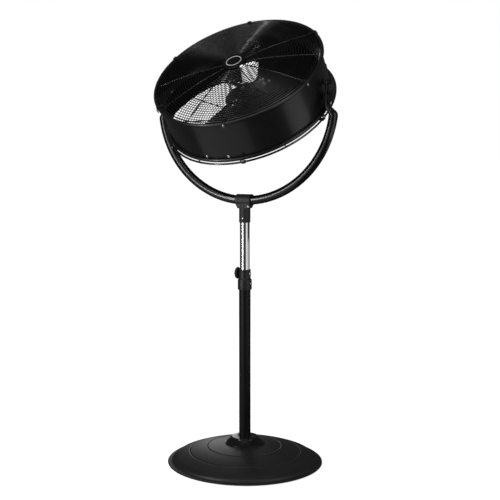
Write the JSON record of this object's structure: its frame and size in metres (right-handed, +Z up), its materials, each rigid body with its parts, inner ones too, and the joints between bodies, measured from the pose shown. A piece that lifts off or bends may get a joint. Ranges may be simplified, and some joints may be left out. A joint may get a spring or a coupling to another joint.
{
  "type": "pedestal drum fan",
  "caption": "Pedestal drum fan: a tilting round drum head with wire grilles and a bladed rotor, carried by a tube yoke on a telescoping column and a weighted round base.",
  "frame": {"origin": "centre of the underside of the base pad, on the floor", "axes": "+Z up along the column; the fan blows towards -Y when its head is level; X runs along the tilt axis, with the height knob on the -X side"},
  "size_m": [0.6398, 0.5331, 1.4596],
  "materials": {
    "rubber": "matt",
    "base_black": "satin powder coat with a fine texture",
    "gloss_black": "gloss",
    "ballast_iron": "rough",
    "dark_steel": "phosphated",
    "zinc_steel": "bright zinc plate",
    "pole_black": "semi-gloss paint",
    "knob_black": "moulded plastic, low sheen",
    "bush_plastic": "smooth nylon",
    "chrome_tube": "polished chrome plate",
    "textured_black": "coarse textured powder coat",
    "yoke_black": "semi-gloss paint",
    "drum_black": "semi-gloss paint",
    "wire_black": "semi-gloss coated wire",
    "badge_black": "gloss",
    "blade_black": "semi-gloss paint",
    "motor_black": "satin paint",
    "lamination_steel": "stacked sheet edges",
    "copper_winding": "varnished copper wire",
    "cream_plastic": "moulded"
  },
  "bodies": {
    "stand": {"base_pad": "rubber", "base_pan": "base_black", "base_ballast": "ballast_iron", "base_shell": "base_black", "base_cover": "gloss_black", "pole_flange": "dark_steel", "flange_bolts": "zinc_steel", "lower_pole": "pole_black", "height_collar": "knob_black", "collar_screws": "zinc_steel"},
    "swivel_liner": {"collar_bushing": "bush_plastic"},
    "mast": {"upper_tube": "chrome_tube", "foot_bushing": "bush_plastic", "tee_casting": "textured_black", "tee_fasteners": "zinc_steel", "yoke": "yoke_black"},
    "height_clamp": {"height_knob": "knob_black", "height_stud": "zinc_steel"},
    "head": {"pivot_plates": "drum_black", "pivot_spacers": "bush_plastic", "pivot_bolts": "zinc_steel", "tilt_washers": "dark_steel", "drum": "drum_black", "front_grille": "wire_black", "front_badge": "badge_black", "front_clips": "dark_steel", "front_screws": "zinc_steel", "rear_grille": "wire_black", "rear_plate": "wire_black", "rear_clips": "dark_steel", "rear_screws": "zinc_steel", "motor_bars": "drum_black", "bar_bolts": "zinc_steel", "motor_front_bell": "motor_black", "motor_rear_bell": "motor_black", "motor_bolts": "zinc_steel", "stator_core": "lamination_steel", "stator_windings": "copper_winding", "front_bearing": "zinc_steel", "rear_bearing": "zinc_steel", "control_box": "motor_black", "control_lid": "motor_black", "lid_screws": "zinc_steel", "speed_switch": "cream_plastic", "run_capacitor": "bush_plastic", "terminal_block": "cream_plastic", "cord_gland": "knob_black"},
    "rotor": {"shaft": "zinc_steel", "rotor_core": "lamination_steel", "hub_spider": "dark_steel", "hub_screw": "dark_steel", "blade_1": "blade_black", "blade_2": "blade_black", "blade_3": "blade_black", "blade_rivets": "zinc_steel"},
    "right_tilt_clamp": {"tilt_knob_right": "knob_black"},
    "left_tilt_clamp": {"tilt_knob_left": "knob_black"},
    "speed_control": {"switch_shaft": "zinc_steel", "speed_knob": "knob_black"}
  },
  "joints": [
    {"name": "head_swivel", "type": "hinge", "parent": "stand", "child": "swivel_liner", "pos_m": [0, 0, 0.626], "axis": [0, 0, 1], "continuous": true},
    {"name": "column_slide", "type": "slide", "parent": "swivel_liner", "child": "mast", "axis": [0, 0, 1], "range_m": [-0.145, 0.12]},
    {"name": "height_clamp_turn", "type": "hinge", "parent": "stand", "child": "height_clamp", "pos_m": [-0.03, 0, 0.6305], "axis": [-1, 0, 0], "range_deg": [0, 540]},
    {"name": "head_tilt", "type": "hinge", "parent": "mast", "child": "head", "pos_m": [0, 0, 1.2173], "axis": [-1, 0, 0], "range_deg": [-80, 39.3]},
    {"name": "fan_spin", "type": "hinge", "parent": "head", "child": "rotor", "pos_m": [0, 0, 1.2173], "axis": [0, 0.6334, -0.7738], "continuous": true},
    {"name": "right_clamp_turn", "type": "hinge", "parent": "head", "child": "right_tilt_clamp", "pos_m": [0.3, 0, 1.2173], "axis": [1, 0, 0], "range_deg": [0, 540]},
    {"name": "left_clamp_turn", "type": "hinge", "parent": "head", "child": "left_tilt_clamp", "pos_m": [-0.3, 0, 1.2173], "axis": [-1, 0, 0], "range_deg": [0, 540]},
    {"name": "speed_turn", "type": "hinge", "parent": "head", "child": "speed_control", "pos_m": [0, 0.06334, 1.13992], "axis": [0, -0.6334, 0.7738], "range_deg": [0, 120]}
  ]
}
